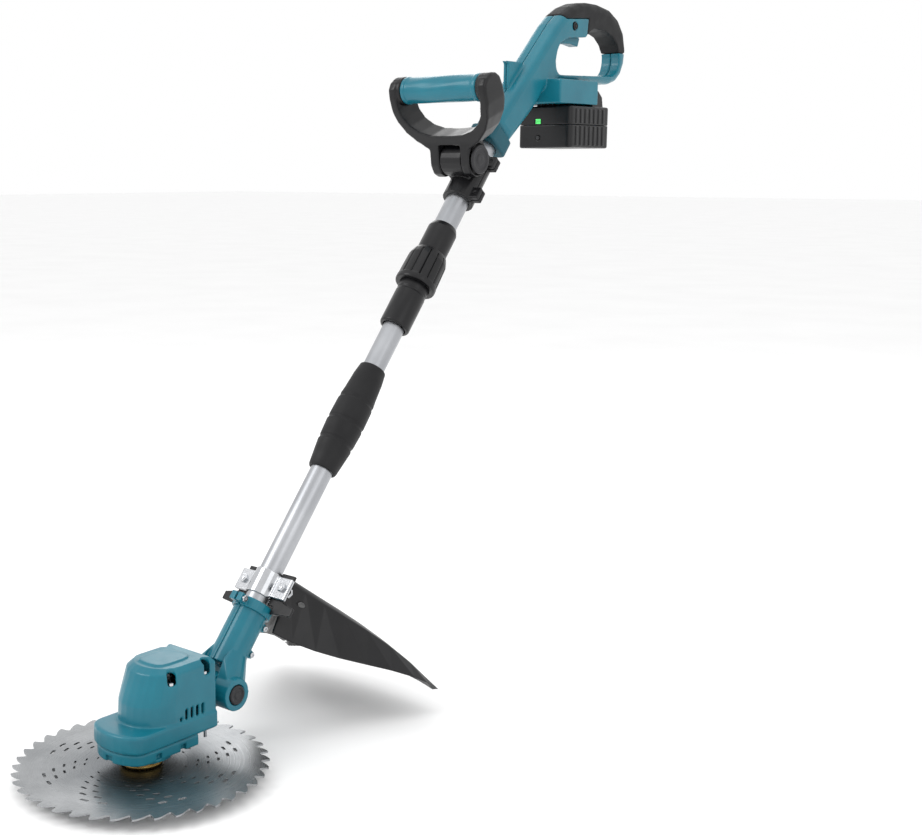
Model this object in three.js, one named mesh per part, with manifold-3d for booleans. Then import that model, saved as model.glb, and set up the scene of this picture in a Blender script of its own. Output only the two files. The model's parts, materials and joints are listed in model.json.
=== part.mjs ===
// A cordless lawn edger with a round steel blade, as a bench assembly of separate pieces.
// Millimetres, +Z up. The spindle stands on the origin, the blade lies flat, and the pole
// leans back towards +Y, where the user stands. X runs across the tool.
import * as THREE from "three";
import { mergeVertices } from "three/addons/utils/BufferGeometryUtils.js";
import Module from "manifold-3d";

const wasm = await Module();
wasm.setup();

// ---------------------------------------------------------------- driving dimensions
const GAP = 0.3; // between two pieces that touch
const ROUND = 20; // sides of an ordinary round piece

const BLADE = { radius: 127.5, thickness: 1.8, teeth: 40, gullet: 9, bore: 12.7, z: 11.6 };
const SPINDLE = { radius: 6, top: 60, flangeRadius: 21.8, flangeTop: 23.2 };
const GEAR = { module: 1.25, big: 36, small: 12, face: 7, z: 43, pressure: 25, slack: 0.25 };
const MOTOR = { y: (GEAR.module * (GEAR.big + GEAR.small)) / 2, radius: 18, bottom: 57, top: 102 };
const HEAD = { half: 36, front: -44, rear: 71, bottom: 26.5, seam: 38.5, rim: 57.5, top: 112.5, wall: 3 };

const PIVOT = { y: 98.4, z: 64.3, radius: 17, half: 36, lug: 13, bolt: 5 };
const POLE_ANGLE = THREE.MathUtils.degToRad(50); // of the pole above the blade's plane
const LOWER_TUBE = { radius: 12.7, bore: 11.5, start: 32, end: 560 };
const UPPER_TUBE = { radius: 13.9, bore: 13, start: 470, end: 790 };

const ARM = { radius: 19, top: 99, lip: 22 };
const STRAP = { low: 107, high: 135, inner: 13, outer: 15, boltX: 28, ear: 36, sheet: 2 };
const GUARD = { front: 16, rimFront: 25, rear: 204, wall: 2.6, arch: 12, plateLow: 74, plateHigh: 139 };
const SLEEVE = { low: 264, high: 399, bore: 13 };
const COLLAR = { low: 457, high: 602, radius: 18, nutLow: 515, nutHigh: 562, nutRadius: 24.7 };
const TUBE_COLLAR = { half: 20, corner: 6, low: 725 };
const HINGE = { t: 681, n: 30, radius: 20, barrel: 15, ear: 28.6, lean: 61.5, button: 17.5 };
const DHANDLE = { reach: 86.5, half: 70, grip: 54, gripRadius: 16, bar: 6, depth: 19, wall: 10.5 };
const CLAMP = { low: 642, high: 708, radius: 19.5, lug: 30 };
const HOUSING = { half: 18, wall: 3, tubeStart: 749 };
const SHOE = { half: 39, front: 669, rear: 758, low: 675.8, high: 705.2 };
const PACK = { half: 39, front: 694, rear: 788, low: 621, seam: 650, high: 673.5, wedge: 694.5 };

// ---------------------------------------------------------------- materials
const paint = (color, roughness, metalness) =>
  new THREE.MeshStandardMaterial({ color, roughness, metalness });
const TEAL = paint(0x167f95, 0.42, 0);
const DARK_TEAL = paint(0x0e5563, 0.5, 0);
const BLACK = paint(0x161617, 0.45, 0);
const SOFT_BLACK = paint(0x1e1e20, 0.75, 0);
const GREY = paint(0x4a4b4e, 0.55, 0);
const ALUMINIUM = paint(0xc9cbce, 0.32, 0.9);
const STEEL = paint(0xb4b7ba, 0.28, 1);
const BRASS = paint(0xb4975a, 0.3, 1);
const COPPER = paint(0xb06a3c, 0.4, 0.9);
const GREEN = paint(0x2c6b3a, 0.6, 0);
const CELL_BLUE = paint(0x3a6ea8, 0.5, 0);

// ---------------------------------------------------------------- solids from geometries
function solid(geometry) {
  const bare = geometry.clone();
  bare.deleteAttribute("normal");
  bare.deleteAttribute("uv");
  const merged = mergeVertices(bare, 1e-4);
  return new wasm.Manifold(
    new wasm.Mesh({
      numProp: 3,
      vertProperties: merged.attributes.position.array,
      triVerts: new Uint32Array(merged.index.array),
    }),
  );
}

function geometryOf(manifold) {
  const mesh = manifold.getMesh();
  const flat = new Float32Array(mesh.numVert * 3);
  for (let i = 0; i < mesh.numVert; i++)
    flat.set(mesh.vertProperties.subarray(i * mesh.numProp, i * mesh.numProp + 3), i * 3);
  const geometry = new THREE.BufferGeometry();
  geometry.setAttribute("position", new THREE.BufferAttribute(flat, 3));
  geometry.setIndex(new THREE.BufferAttribute(mesh.triVerts, 1));
  geometry.computeVertexNormals();
  return geometry;
}

const join = (...pieces) => pieces.reduce((a, b) => a.add(b));
const cut = (body, ...tools) => tools.reduce((a, b) => a.subtract(b), body);

// Each maker returns a solid. Round ones stand on the Z axis.
const moved = (geometry, matrix) => solid(geometry.applyMatrix4(matrix));
const shift = (x, y, z) => new THREE.Matrix4().makeTranslation(x, y, z);

function block(x0, x1, y0, y1, z0, z1) {
  const box = new THREE.BoxGeometry(x1 - x0, y1 - y0, z1 - z0);
  return moved(box, shift((x0 + x1) / 2, (y0 + y1) / 2, (z0 + z1) / 2));
}

function disc(radius, z0, z1, x = 0, y = 0, sides = ROUND, topRadius = radius) {
  const geometry = new THREE.CylinderGeometry(topRadius, radius, z1 - z0, sides);
  geometry.rotateX(Math.PI / 2);
  return moved(geometry, shift(x, y, (z0 + z1) / 2));
}

// A round piece from its half section: points are [radius, z], and it closes on itself.
function turned(points, sides = ROUND) {
  const profile = points.map(([r, z]) => new THREE.Vector2(r, z));
  profile.push(profile[0].clone());
  const geometry = new THREE.LatheGeometry(profile, sides);
  geometry.rotateX(Math.PI / 2);
  const made = solid(geometry);
  return made.volume() < 0 ? solid(flipped(geometry)) : made;
}

function flipped(geometry) {
  const index = geometry.index.array;
  for (let i = 0; i < index.length; i += 3) [index[i + 1], index[i + 2]] = [index[i + 2], index[i + 1]];
  return geometry;
}

const ring = (outer, inner, z0, z1, sides = ROUND) =>
  turned([[inner, z0], [outer, z0], [outer, z1], [inner, z1]], sides);

// A round bar along X, centred at (y, z).
function crossBar(radius, x0, x1, y, z, sides = ROUND, endRadius = radius) {
  const geometry = new THREE.CylinderGeometry(endRadius, radius, x1 - x0, sides);
  geometry.rotateZ(-Math.PI / 2);
  return moved(geometry, shift((x0 + x1) / 2, y, z));
}

// A flat outline as a shape: an entry is [x, y], or [x, y, controlX, controlY] for a curve to it.
function outline(points, holes = []) {
  const shape = new THREE.Shape();
  shape.moveTo(points[0][0], points[0][1]);
  for (const [x, y, cx, cy] of points.slice(1)) {
    if (cx === undefined) shape.lineTo(x, y);
    else shape.quadraticCurveTo(cx, cy, x, y);
  }
  shape.holes = holes.map((hole) => outline(hole));
  return shape;
}

function roundedBox(x0, x1, y0, y1, r) {
  return [
    [x0 + r, y0], [x1 - r, y0], [x1, y0 + r, x1, y0], [x1, y1 - r], [x1 - r, y1, x1, y1],
    [x0 + r, y1], [x0, y1 - r, x0, y1], [x0, y0 + r], [x0 + r, y0, x0, y0],
  ];
}

// Extrudes a plan outline up Z, with an optional rounded edge of size bevel at both ends.
function upright(shape, z0, z1, { bevel = 0, rounds = 1, curve = 3, steps = 1 } = {}) {
  const geometry = new THREE.ExtrudeGeometry(shape, {
    depth: z1 - z0 - 2 * bevel, curveSegments: curve, steps,
    bevelEnabled: bevel > 0, bevelThickness: bevel, bevelSize: bevel, bevelOffset: -bevel,
    bevelSegments: rounds,
  });
  return geometry.translate(0, 0, z0 + bevel);
}

const plan = (points, z0, z1, options = {}) =>
  solid(upright(outline(points, options.holes), z0, z1, options));

// Extrudes a side outline, whose points are [y, z], along X.
const SIDEWAYS = new THREE.Matrix4().makeBasis(
  new THREE.Vector3(0, 1, 0), new THREE.Vector3(0, 0, 1), new THREE.Vector3(1, 0, 0),
);
const side = (points, x0, x1, options = {}) =>
  moved(upright(outline(points, options.holes), x0, x1, options), SIDEWAYS);

const along = (piece, matrix) => piece.transform(matrix.elements);
const turnX = (degrees) => new THREE.Matrix4().makeRotationX(THREE.MathUtils.degToRad(degrees));
const turnZ = (degrees) => new THREE.Matrix4().makeRotationZ(THREE.MathUtils.degToRad(degrees));
const mirrorX = (piece) => piece.mirror([1, 0, 0]);
const above = (x) => block(x, 400, -400, 1200, -400, 1200);

// ---------------------------------------------------------------- groups
const edger = new THREE.Group();
const pole = new THREE.Group(); // its Z runs up the pole from the head pivot, its Y is behind it
pole.position.set(0, PIVOT.y, PIVOT.z);
pole.rotation.x = POLE_ANGLE - Math.PI / 2;
pole.updateMatrix();
const carry = new THREE.Group(); // the carry handle's own frame: Z towards its grip
carry.position.set(0, -HINGE.n, HINGE.t);
carry.rotation.x = THREE.MathUtils.degToRad(HINGE.lean);
pole.add(carry);
edger.add(pole);

function add(group, name, material, piece) {
  const mesh = new THREE.Mesh(geometryOf(piece), material);
  mesh.name = name;
  group.add(mesh);
}

// ---------------------------------------------------------------- blade and spindle
function bladeOutline() {
  const points = [];
  const pitch = (2 * Math.PI) / BLADE.teeth;
  const at = (radius, turn) => [radius * Math.cos(turn), radius * Math.sin(turn)];
  for (let i = 0; i < BLADE.teeth; i++) {
    const start = i * pitch;
    points.push(at(BLADE.radius, start)); // the cutting tip, hooked towards the turn
    points.push(at(BLADE.radius - 2.6, start + 0.36 * pitch));
    points.push(at(BLADE.radius - BLADE.gullet, start + 0.86 * pitch));
  }
  return points;
}

// The blade's slots: fans of short rows that lean with the turn and grow outwards.
const SLOT_FANS = 8;
const SLOT_ROWS = [
  { radius: 50, count: 1 }, { radius: 62, count: 2 }, { radius: 75, count: 2 }, { radius: 89, count: 1 },
];
const SLOT_STEP = 0.2; // radians between slots of a row
const SLOT_LEAN = 0.009; // radians for each millimetre outwards

function slot(radius, turn) {
  const length = radius * 0.055;
  const width = radius * 0.022;
  const corners = [[-length, 0], [0, -width], [length, 0], [0, width]];
  return corners.map(([along, across]) => [
    (radius + across) * Math.cos(turn) - along * Math.sin(turn),
    (radius + across) * Math.sin(turn) + along * Math.cos(turn),
  ]);
}

function bladeSlots() {
  const slots = [];
  for (let fan = 0; fan < SLOT_FANS; fan++)
    for (const { radius, count } of SLOT_ROWS)
      for (let i = 0; i < count; i++)
        slots.push(slot(radius, (2 * Math.PI * fan) / SLOT_FANS + i * SLOT_STEP + SLOT_LEAN * radius));
  return slots;
}

function makeSpindle() {
  const bore = [];
  for (let k = 0; k < ROUND; k++) {
    const a = -(2 * Math.PI * k) / ROUND;
    bore.push([BLADE.bore * Math.cos(a), BLADE.bore * Math.sin(a)]);
  }
  const bladeTop = BLADE.z + BLADE.thickness;
  add(edger, "blade", STEEL, plan(bladeOutline(), BLADE.z, bladeTop, { holes: [bore, ...bladeSlots()] }));

  const headHeight = 6;
  const head = disc(7.5, 0, headHeight, 0, 0, 6);
  const shank = disc(3.9, headHeight, 26, 0, 0, 16);
  add(edger, "blade_bolt", STEEL, join(head, disc(9.5, headHeight, 7, 0, 0, 24), shank));

  const washerTop = BLADE.z - GAP;
  add(edger, "outer_flange", STEEL,
    turned([
      [SPINDLE.radius + GAP, 7.3], [17, 7.3], [20, 9], [20, washerTop], [SPINDLE.radius + GAP, washerTop],
    ]));

  const low = bladeTop + GAP;
  const top = SPINDLE.flangeTop;
  add(edger, "inner_flange", BRASS, turned([
    [SPINDLE.radius + GAP, BLADE.z + 0.2], [BLADE.bore - GAP, BLADE.z + 0.2], [BLADE.bore - GAP, low],
    [SPINDLE.flangeRadius - 1.5, low], [SPINDLE.flangeRadius, low + 1.5], [SPINDLE.flangeRadius, top - 3],
    [SPINDLE.flangeRadius - 3, top], [SPINDLE.radius + GAP, top],
  ], 24));

  const shaft = disc(SPINDLE.radius, 7.4, SPINDLE.top, 0, 0, 24);
  add(edger, "spindle_shaft", STEEL, cut(shaft, disc(4.3, 7, 28, 0, 0, 16)));
}

// ---------------------------------------------------------------- gears
// Half the angle that a tooth fills at a radius, for an involute flank on the base circle.
function toothHalfAngle(radius, pitchRadius, teeth) {
  const pressure = THREE.MathUtils.degToRad(GEAR.pressure);
  const base = pitchRadius * Math.cos(pressure);
  const roll = (r) => {
    const a = Math.acos(Math.min(1, base / r));
    return Math.tan(a) - a;
  };
  const atPitch = Math.PI / (2 * teeth) - GEAR.slack / 2 / pitchRadius;
  return atPitch + roll(pitchRadius) - roll(Math.max(radius, base));
}

function gear(teeth, z0, z1, phase) {
  const pitchRadius = (GEAR.module * teeth) / 2;
  const tip = pitchRadius + 0.85 * GEAR.module;
  const root = pitchRadius - 1.2 * GEAR.module;
  const base = pitchRadius * Math.cos(THREE.MathUtils.degToRad(GEAR.pressure));
  const flank = [Math.max(base, root), tip];
  const points = [];
  const put = (radius, angle) => points.push([radius * Math.cos(angle), radius * Math.sin(angle)]);
  for (let i = 0; i < teeth; i++) {
    const middle = phase + (2 * Math.PI * i) / teeth;
    for (const r of flank) put(r, middle - toothHalfAngle(r, pitchRadius, teeth));
    for (const r of [...flank].reverse()) put(r, middle + toothHalfAngle(r, pitchRadius, teeth));
    put(root, middle + Math.PI / teeth);
  }
  return plan(points, z0, z1);
}

function makeDrive() {
  const { y, radius, bottom, top } = MOTOR;
  const gearTop = GEAR.z + GEAR.face;
  const big = gear(GEAR.big, GEAR.z, gearTop, Math.PI / 2 + Math.PI / GEAR.big);
  add(edger, "driven_gear", STEEL, cut(big, disc(SPINDLE.radius + GAP, 0, 90, 0, 0, 24)));
  const small = along(gear(GEAR.small, GEAR.z, gearTop, -Math.PI / 2), shift(0, y, 0));
  add(edger, "pinion_gear", BRASS, cut(small, disc(2.8, 0, 90, 0, y, 16)));

  const shaft = disc(2.5, GEAR.z - 1, top + 1, 0, y, 16);
  add(edger, "rotor", COPPER, join(shaft, disc(12, bottom + 7, top - 7, 0, y, 20)));

  const can = turned([
    [3.2, bottom], [radius, bottom], [radius, top], [3.2, top], [3.2, top - 2], [radius - 3, top - 2],
    [radius - 3, bottom + 2], [3.2, bottom + 2],
  ]);
  add(edger, "motor_can", STEEL, along(can, shift(0, y, 0)));
}

// ---------------------------------------------------------------- motor head casings
// The head seen from above: a bowed front between rounded corners.
function headPlan(half, front, rear) {
  return [
    [half, rear], [half, front + 22], [half - 9, front + 7, half, front + 12], [0, front, half * 0.42, front],
    [9 - half, front + 7, -half * 0.42, front], [-half, front + 22, -half, front + 12], [-half, rear],
  ];
}

// The dome stands on the base flange. Its half-round nose leans back towards the top.
const DOME = { half: 34, nose: -20, edge: 5, lean: 18 };
const EIGHTH = Math.SQRT1_2; // where a quarter round is split in two
const TANGENT = Math.SQRT2 - 1; // how far along the side its control point lies

function dome(inset, z0, top) {
  const half = DOME.half - inset;
  const nose = DOME.nose + inset;
  const centre = nose + half;
  const rear = HEAD.rear - inset;
  const shape = outline([
    [half, rear], [half, centre], [half * EIGHTH, centre - half * EIGHTH, half, centre - half * TANGENT],
    [0, nose, half * TANGENT, nose], [-half * EIGHTH, centre - half * EIGHTH, -half * TANGENT, nose],
    [-half, centre, -half, centre - half * TANGENT], [-half, rear],
  ]);
  const geometry = upright(shape, z0, top, { bevel: DOME.edge, curve: 3, steps: 2 });
  const position = geometry.attributes.position;
  for (let i = 0; i < position.count; i++) {
    const rise = Math.max(0, (position.getZ(i) - HEAD.rim) / (HEAD.top - HEAD.rim));
    const forward = Math.max(0, (rear - position.getY(i)) / (rear - nose));
    position.setY(i, position.getY(i) + DOME.lean * rise * rise * forward);
  }
  return solid(geometry);
}

const HEAD_SCREW = { x: 29.4, ys: [14, 59], floor: 96.5 };
const headScrewPlaces = [-1, 1].flatMap((s) => HEAD_SCREW.ys.map((y) => [s * HEAD_SCREW.x, y]));
const VENT = { first: 22, step: 7.3, width: 3, low: 57.5, high: 68.5 };

function motorCover() {
  const { half, front, rear, seam, rim, top, wall } = HEAD;
  const flange = plan(headPlan(half, front, rear), seam, rim, { bevel: 2 });
  const hollow = plan(headPlan(half - wall, front + wall, rear - wall), seam - 5, rim - wall);
  let cover = join(flange, dome(0, seam + 4, top));
  cover = cut(cover, dome(wall, seam - 5, top - wall), hollow);
  for (const [x, y] of headScrewPlaces) {
    const post = disc(5, seam + 3.5, HEAD_SCREW.floor, x, y, 10).intersect(dome(1, seam - 5, top - 1));
    cover = join(cover, post);
    cover = cut(cover, disc(4.8, HEAD_SCREW.floor, top + 5, x * 1.04, y, 10), disc(1.9, 0, top, x, y, 8));
  }
  for (let i = 0; i < 5; i++) {
    const y = VENT.first + VENT.step * i;
    const high = i === 0 ? VENT.low + 4 : VENT.high;
    cover = cut(cover, block(-60, -28, y, y + VENT.width, VENT.low, high));
    cover = cut(cover, block(28, 60, y, y + VENT.width, VENT.low, high));
  }
  const panel = plan(roundedBox(-19, 19, 8, 54, 14), top - 1, top + 2, { bevel: 0.8 });
  return join(cover, panel, knuckle());
}

function gearcase() {
  const { half, front, rear, bottom, seam, wall } = HEAD;
  let tier = plan(headPlan(34, front + 2, 46), bottom, seam - GAP, { bevel: 1 });
  for (const [x, y] of [[-20, front], [0, front], [20, front], [-34, -8], [34, -8], [-34, 24], [34, 24]])
    tier = cut(tier, block(x - 4.5, x + 4.5, y - 2, y + 5.5, bottom - 1, seam - 5));
  const lid = plan(headPlan(half - wall - 0.4, front + wall + 0.4, rear - wall - 0.4), seam - 1, seam + 2.6);
  const below = block(-60, 60, 45.9, 90, seam - 2, seam - 0.1);
  return cut(
    join(tier, cut(lid, below), disc(33, bottom - 2.6, bottom + 1)),
    disc(14.3, bottom + 2, seam + 9), disc(9, 0, 60, 0, 0, 24),
    disc(4, seam - 1.5, seam + 9, 0, MOTOR.y, 16),
    ...headScrewPlaces.map(([x, y]) => disc(1.9, 0, 60, x, y, 8)),
  );
}

function makeHead() {
  const { front, rear, bottom, wall } = HEAD;
  add(edger, "motor_cover", TEAL, motorCover());
  add(edger, "gearcase_base", TEAL, gearcase());
  add(edger, "spindle_bearing_lower", STEEL, ring(14, SPINDLE.radius + GAP, bottom + 2.3, bottom + 11, 24));
  add(edger, "spindle_bearing_upper", STEEL, ring(11, SPINDLE.radius + GAP, 52, 57, 24));

  const plate = plan(headPlan(30, front + 17, rear - wall - 1), 52, 54.5);
  add(edger, "motor_plate", STEEL, cut(
    plate, disc(11.3, 0, 90, 0, 0, 24), disc(4, 0, 90, 0, MOTOR.y, 16),
    ...headScrewPlaces.map(([x, y]) => disc(5.4, 0, 90, x, y, 10)),
  ));
  headScrewPlaces.forEach(([x, y], i) => {
    const head = disc(2.9, HEAD_SCREW.floor + GAP, HEAD_SCREW.floor + 3, x, y, 12);
    add(edger, `cover_screw_${i + 1}`, STEEL, join(head, disc(1.6, 30, HEAD_SCREW.floor + 1, x, y, 8)));
  });
}

// The lug behind the head, which tilts on the pivot pin.
function knuckle() {
  const { y, z, radius, lug, half, bolt } = PIVOT;
  const face = HEAD.rear - 1;
  const web = side([[face, z - 15], [y, z - radius], [y, z + radius], [face, z + 18]], -lug, lug);
  const foot = block(-20.5, 20.5, face, face + 4, z - 16, z + 27);
  const eye = crossBar(radius - 0.3, -lug, lug, y, z);
  const bore = crossBar(bolt + GAP, -half, half, y, z, 20);
  return cut(join(web, foot, eye), bore);
}

// ---------------------------------------------------------------- arm
const ARM_SCREWS = [79, 48];
const ARM_SCREW_Y = 16.2;

function armHalf() {
  const { half, lug, radius, bolt } = PIVOT;
  const inside = lug + 0.4;
  const ear = crossBar(radius, inside, half, 0, 0);
  const cheek = side([
    [-14, 0], [14, 0], [ARM.radius, 26], [ARM.radius, 46], [-ARM.radius, 46], [-ARM.radius, 26],
  ], inside, 30);
  const taper = disc(36, 0, 46, 0, 0, 24, 17);
  let body = join(ear, cheek.intersect(taper), disc(ARM.radius, 24, ARM.top, 0, 0, 24));
  for (const t of ARM_SCREWS) body = join(body, crossBar(4.4, 0.15, 14, ARM_SCREW_Y, t, 12));
  body = cut(body, disc(LOWER_TUBE.radius + GAP, LOWER_TUBE.start - 1, 140), disc(6, 0, 60, 0, 0, 16));
  body = cut(body, crossBar(radius + 1.2, -inside, inside, 0, 0), crossBar(bolt + GAP, -60, 60, 0, 0, 20));
  body = cut(body, crossBar(PIVOT_BUTTON.radius + 0.5, PIVOT_BUTTON.floor, 60, 0, 0, 20));
  for (const t of ARM_SCREWS) body = cut(body, crossBar(1.9, -20, 20, ARM_SCREW_Y, t, 8));
  return body.intersect(above(0.15));
}

const PIVOT_BUTTON = { radius: 10.3, floor: 26.5, inner: 31, outer: 37.5 };

function makeArm() {
  const { half, bolt } = PIVOT;
  const right = armHalf();
  add(pole, "arm_shell_right", TEAL, right);
  add(pole, "arm_shell_left", TEAL, mirrorX(right));
  for (const [i, t] of ARM_SCREWS.entries()) {
    const head = crossBar(3, 14.3, 16.2, ARM_SCREW_Y, t, 12);
    add(pole, `arm_screw_${i + 1}`, STEEL, join(head, crossBar(1.5, -9, 15, ARM_SCREW_Y, t, 8)));
  }
  add(pole, "pivot_pin", STEEL, crossBar(bolt, -24, 24, 0, 0, 20));
  const { radius: buttonRadius, floor, inner, outer } = PIVOT_BUTTON;
  add(pole, "pivot_cap_left", GREY, crossBar(buttonRadius, -half - 1.5, -floor - GAP, 0, 0, 20));
  add(pole, "pivot_button", GREY, crossBar(buttonRadius, inner, outer, 0, 0, 20));

  const low = ARM.top - 12;
  const screwT = ARM.top - 6.5;
  const screwY = -ARM.lip - 4.5;
  const band = ring(ARM.lip, ARM.radius + GAP, low, ARM.top - 1);
  const ears = block(-8, 8, -ARM.lip - 9, -ARM.radius - 0.8, low + 1, ARM.top - 2);
  const slit = block(-1.2, 1.2, -60, -ARM.radius + 2, 0, 200);
  const hole = crossBar(2.2, -30, 30, screwY, screwT, 12);
  add(pole, "arm_clamp_ring", TEAL, cut(join(band, ears), slit, hole, disc(ARM.radius + GAP, 0, 200)));
  const screwHead = crossBar(3.4, 8.3, 11, screwY, screwT, 12);
  add(pole, "arm_clamp_screw", STEEL, join(screwHead, crossBar(1.8, -10, 9, screwY, screwT, 12)));
}

function makeLowerTube() {
  const { radius, bore, start, end } = LOWER_TUBE;
  const inner = bore - GAP;
  const lip = UPPER_TUBE.bore - GAP;
  add(pole, "lower_tube", ALUMINIUM, ring(radius, bore, start, end, 20));
  add(pole, "guide_bush", BLACK, turned([
    [7, end - 14], [inner, end - 14], [inner, end + GAP], [lip, end + GAP], [lip, end + 5], [7, end + 5],
  ], 20));
  add(pole, "lower_lead", BLACK, disc(2, start + 2, end + 3, 3.4, 0, 8));
}

// ---------------------------------------------------------------- strap and guard
const midStrap = (STRAP.low + STRAP.high) / 2;

// A round bar along the pole frame's Y at x across, through the middle of the strap.
function strapBar(radius, y0, y1, x, sides = 12) {
  const place = new THREE.Matrix4().makeTranslation(0, 0, midStrap).multiply(turnX(90));
  return along(disc(radius, -y1, -y0, x, 0, sides), place);
}

function makeStrap() {
  const { low, high, inner, outer, boltX, ear, sheet } = STRAP;
  const holes = [-boltX, boltX].map((x) => strapBar(2.9, -40, 40, x));
  const bore = disc(inner, 0, 300, 0, 0, 24);
  const band = disc(outer, low, high, 0, 0, 24);
  const half = (y0, y1, ya, yb) => {
    const arch = band.intersect(block(-60, 60, y0, y1, 0, 300));
    return cut(join(arch, block(-ear, ear, ya, yb, low + 2, high - 2)), bore, ...holes);
  };
  add(pole, "guard_clamp_front", STEEL, half(-60, -GAP, -sheet - GAP, -GAP));
  add(pole, "guard_clamp_rear", STEEL, half(GAP, 60, GAP, sheet + GAP));
  for (const [name, x] of [["right", boltX], ["left", -boltX]]) {
    const head = strapBar(5.6, -6.4, -sheet - 2 * GAP, x, 6);
    add(pole, `guard_bolt_${name}`, STEEL, join(head, strapBar(2.5, -4, 11, x)));
  }
}

// One cross-section of the guard at v, from 0 at the tube to 1 at the rear edge. It widens like
// a funnel: narrow behind the tube, nearly as wide as the blade at the rear.
function guardSection(v, inset) {
  const ease = v * v * (3 - 2 * v);
  const topHalf = 18 + 98 * v - 4 * v * v - inset;
  const rimHalf = 20 + 150 * v - 52 * v * v - inset;
  const topT = 142 - 20 * Math.pow(v, 4) - inset;
  const rimT = 79 + 41 * ease;
  const topY = GUARD.front + (GUARD.rear - GUARD.front) * v;
  const rimY = GUARD.rimFront + (GUARD.rear - GUARD.rimFront) * v;
  const points = [];
  const across = [-1, -0.93, -0.8, -0.45, 0, 0.45, 0.8, 0.93, 1];
  points.push([-rimHalf, rimY, rimT]);
  for (const u of across) {
    const drop = 0.1 * (topT - rimT) * Math.pow(Math.abs(u), 6) + 1.5 * u * u;
    const arch = GUARD.arch * v * (1 - u * u);
    points.push([u * topHalf, topY, topT - drop + arch]);
  }
  points.push([rimHalf, rimY, rimT]);
  return points;
}

// Skins a row of closed sections that all have as many points, and caps both ends.
function skinned(sections) {
  const n = sections[0].length;
  const positions = sections.flat(2);
  const index = [];
  for (let j = 0; j < sections.length - 1; j++)
    for (let i = 0; i < n; i++) {
      const [a, b] = [j * n + i, j * n + ((i + 1) % n)];
      index.push(a, b, b + n, a, b + n, a + n);
    }
  const last = (sections.length - 1) * n;
  for (let i = 0; i < n / 2 - 1; i++) {
    const [a, b, c, d] = [i, i + 1, n - 2 - i, n - 1 - i];
    index.push(a, c, b, a, d, c, last + a, last + b, last + c, last + a, last + c, last + d);
  }
  const geometry = new THREE.BufferGeometry();
  geometry.setAttribute("position", new THREE.Float32BufferAttribute(positions, 3));
  geometry.setIndex(index);
  const made = solid(geometry);
  return made.volume() < 0 ? solid(flipped(geometry)) : made;
}

function makeGuard() {
  const stations = [0, 0.1, 0.22, 0.35, 0.5, 0.65, 0.8, 0.9, 1];
  const shell = skinned(stations.map((v) => [
    ...guardSection(v, 0), ...guardSection(v, GUARD.wall).reverse(),
  ]));
  const { plateLow, plateHigh } = GUARD;
  const { sheet, boltX } = STRAP;
  const flank = [[33, plateHigh], [33, 108], [50, 104], [50, 95], [20, 92], [20, plateLow]];
  const face = [...flank, ...flank.map(([x, t]) => [-x, t]).reverse()];
  const back = sheet + 2 * GAP;
  const toPlate = new THREE.Matrix4().makeBasis(
    new THREE.Vector3(1, 0, 0), new THREE.Vector3(0, 0, 1), new THREE.Vector3(0, -1, 0),
  );
  const plate = along(plan(face, -back - 3.4, -back), toPlate);
  const saddleRoom = block(-17.5, 17.5, back + 3.4, 40, 90, 136);
  const saddle = cut(block(-20, 20, back + 2, 22, 100, plateHigh), saddleRoom);
  add(pole, "guard", BLACK, cut(
    join(shell, plate, saddle), disc(ARM.lip + 0.8, 0, 101), disc(STRAP.outer + GAP, 100, 300),
    strapBar(2.9, -60, 60, boltX), strapBar(2.9, -60, 60, -boltX),
  ));
}

// ---------------------------------------------------------------- sleeve, upper tube, twist collar
function makeSleeve() {
  const { low, high, bore } = SLEEVE;
  add(pole, "grip_sleeve", SOFT_BLACK, turned([
    [bore, low], [15.6, low], [20, low + 33], [19.2, low + 35], [20.3, low + 37], [21.3, low + 59],
    [20.4, low + 61], [21.3, low + 63], [20.8, low + 86], [19.8, low + 88], [19.2, low + 101], [15.8, high],
    [bore, high],
  ], 20));
}

const NUT_GROOVES = 10;

function makeUpperPole() {
  const { low, high, radius, nutLow, nutHigh, nutRadius } = COLLAR;
  const bore = UPPER_TUBE.radius + GAP;
  const neck = radius - 1.5;
  const tube = ring(UPPER_TUBE.radius, UPPER_TUBE.bore, UPPER_TUBE.start, UPPER_TUBE.end, 20);
  add(pole, "upper_tube", ALUMINIUM, tube);
  add(pole, "collar_body", BLACK, turned([
    [LOWER_TUBE.radius + 0.5, low], [radius, low], [radius, nutLow + 4], [neck, nutLow + 4],
    [neck, nutHigh - 3],
    [radius, nutHigh + 1], [radius, high - 5], [radius - 2.5, high], [bore, high],
    [bore, UPPER_TUBE.start - 1], [LOWER_TUBE.radius + 0.5, UPPER_TUBE.start - 1],
  ]));
  const shell = turned([
    [radius + GAP, nutLow], [nutRadius - 0.8, nutLow], [nutRadius, nutLow + 2], [nutRadius, nutLow + 5],
    [nutRadius - 1.4, nutHigh - 9], [radius + 1.6, nutHigh], [radius + GAP, nutHigh],
  ], 24);
  const grooves = [];
  for (let i = 0; i < NUT_GROOVES; i++)
    grooves.push(along(block(nutRadius - 1.8, nutRadius + 4, -1, 1, nutLow + 6, nutHigh + 5),
      turnZ((360 / NUT_GROOVES) * (i + 0.5))));
  add(pole, "twist_nut", BLACK, cut(shell, ...grooves));
  add(pole, "upper_lead", BLACK, disc(2, LOWER_TUBE.end + 20, UPPER_TUBE.end - 6, -3.4, 0, 8));
  const { half, corner, low: collarLow } = TUBE_COLLAR;
  const corners = roundedBox(-half, half, -half, half, corner);
  const square = plan(corners, collarLow, HOUSING.tubeStart - 1, { bevel: 1.5 });
  add(pole, "tube_collar", DARK_TEAL, cut(square, disc(bore, 700, 800)));
}

// ---------------------------------------------------------------- carry handle
const CLAMP_SCREWS = [[24, CLAMP.low + 9], [24, CLAMP.high - 9], [-24, CLAMP.high - 9]];

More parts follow.
